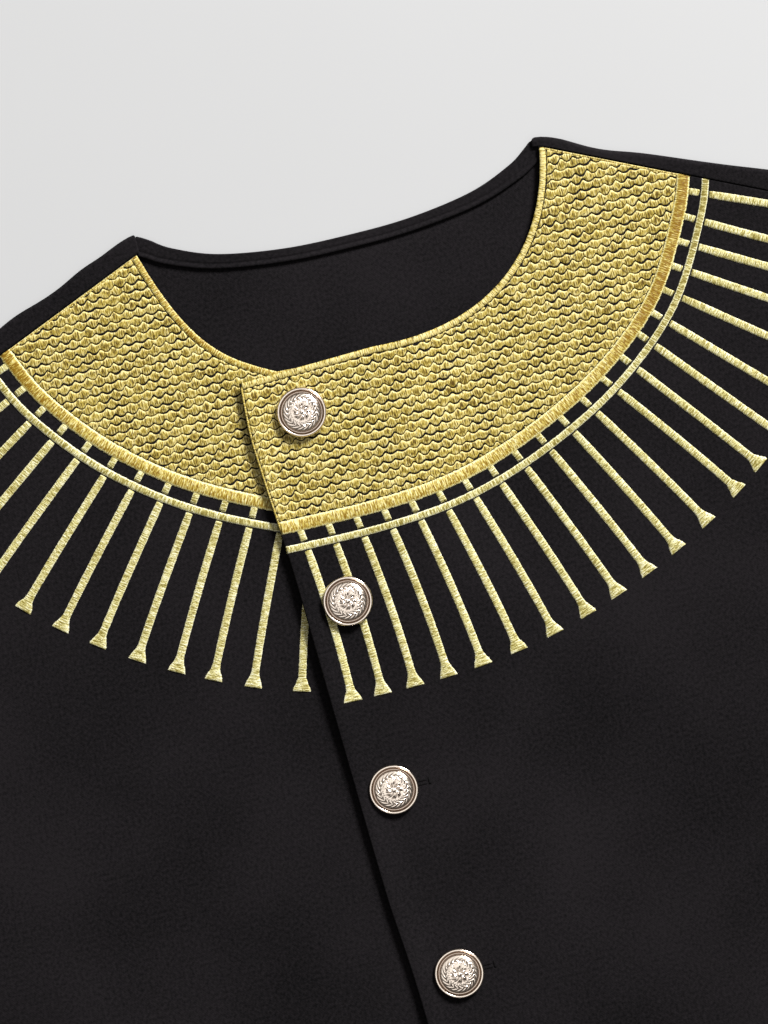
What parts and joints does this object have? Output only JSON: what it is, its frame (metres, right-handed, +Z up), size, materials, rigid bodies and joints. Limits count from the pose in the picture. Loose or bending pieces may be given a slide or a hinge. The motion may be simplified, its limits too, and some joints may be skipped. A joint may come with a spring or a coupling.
{
  "type": "kaftan top",
  "caption": "Collarless long-sleeved kaftan top laid flat, with lapped fronts, an embroidered broad collar of radiating bars, and domed shank buttons.",
  "frame": {"origin": "on the table under the middle of the laid-out garment's bounding box", "axes": "+X to the wearer's left, which is the viewer's right looking down, +Y from hem to neck, +Z up from the table through back and fronts"},
  "size_m": [1.2288, 0.8202, 0.0142],
  "materials": {
    "cloth": "matt black plain weave",
    "embroidery": "gold thread satin stitch",
    "buttons": "polished pale rose gold plate"
  },
  "bodies": {
    "root": {"back": "cloth", "back_neck_facing": "cloth", "front_right": "cloth", "front_left": "cloth", "sleeve_right": "cloth", "sleeve_left": "cloth", "collar_right": "embroidery", "collar_left": "embroidery", "button_1": "buttons", "button_2": "buttons", "button_3": "buttons", "button_4": "buttons", "button_5": "buttons", "button_6": "buttons", "button_7": "buttons"}
  },
  "joints": []
}
